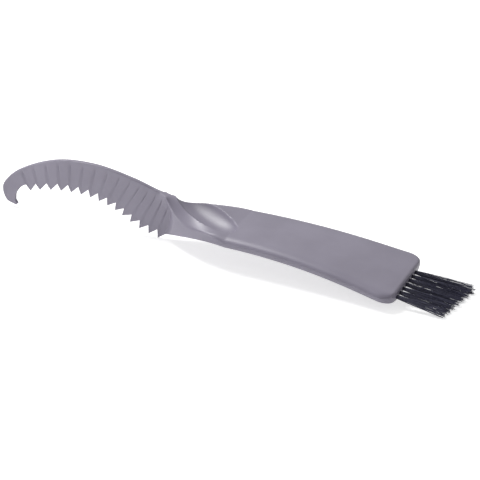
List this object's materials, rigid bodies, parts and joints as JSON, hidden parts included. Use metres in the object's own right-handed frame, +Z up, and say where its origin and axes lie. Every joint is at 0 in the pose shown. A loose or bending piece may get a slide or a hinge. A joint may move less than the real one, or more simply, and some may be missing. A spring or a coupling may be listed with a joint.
{
  "type": "cassette cleaning brush",
  "caption": "Hand tool for cleaning between bicycle sprockets: a flat flared plastic handle with a row of short stiff bristles at one end and a thin, toothed, hooked scraper blade at the other",
  "frame": {"origin": "on the floor under the middle of the tool's box, as it lies at rest on its last tooth and the tips of its bristles", "axes": "+X along the tool from the hook to the bristles, +Y across it away from the picture's side, +Z up"},
  "size_m": [0.2246, 0.0398, 0.0306],
  "materials": {
    "moulding": "satin moulded plastic, warm grey",
    "bristles": "black nylon filament",
    "anchors": "flat wire, dull"
  },
  "bodies": {
    "root": {"handle_and_blade": "moulding", "bristle_tuft_1": "bristles", "bristle_tuft_2": "bristles", "bristle_tuft_3": "bristles", "bristle_tuft_4": "bristles", "bristle_tuft_5": "bristles", "bristle_tuft_6": "bristles", "bristle_tuft_7": "bristles", "tuft_anchor_1": "anchors", "tuft_anchor_2": "anchors", "tuft_anchor_3": "anchors", "tuft_anchor_4": "anchors", "tuft_anchor_5": "anchors", "tuft_anchor_6": "anchors", "tuft_anchor_7": "anchors"}
  },
  "joints": []
}
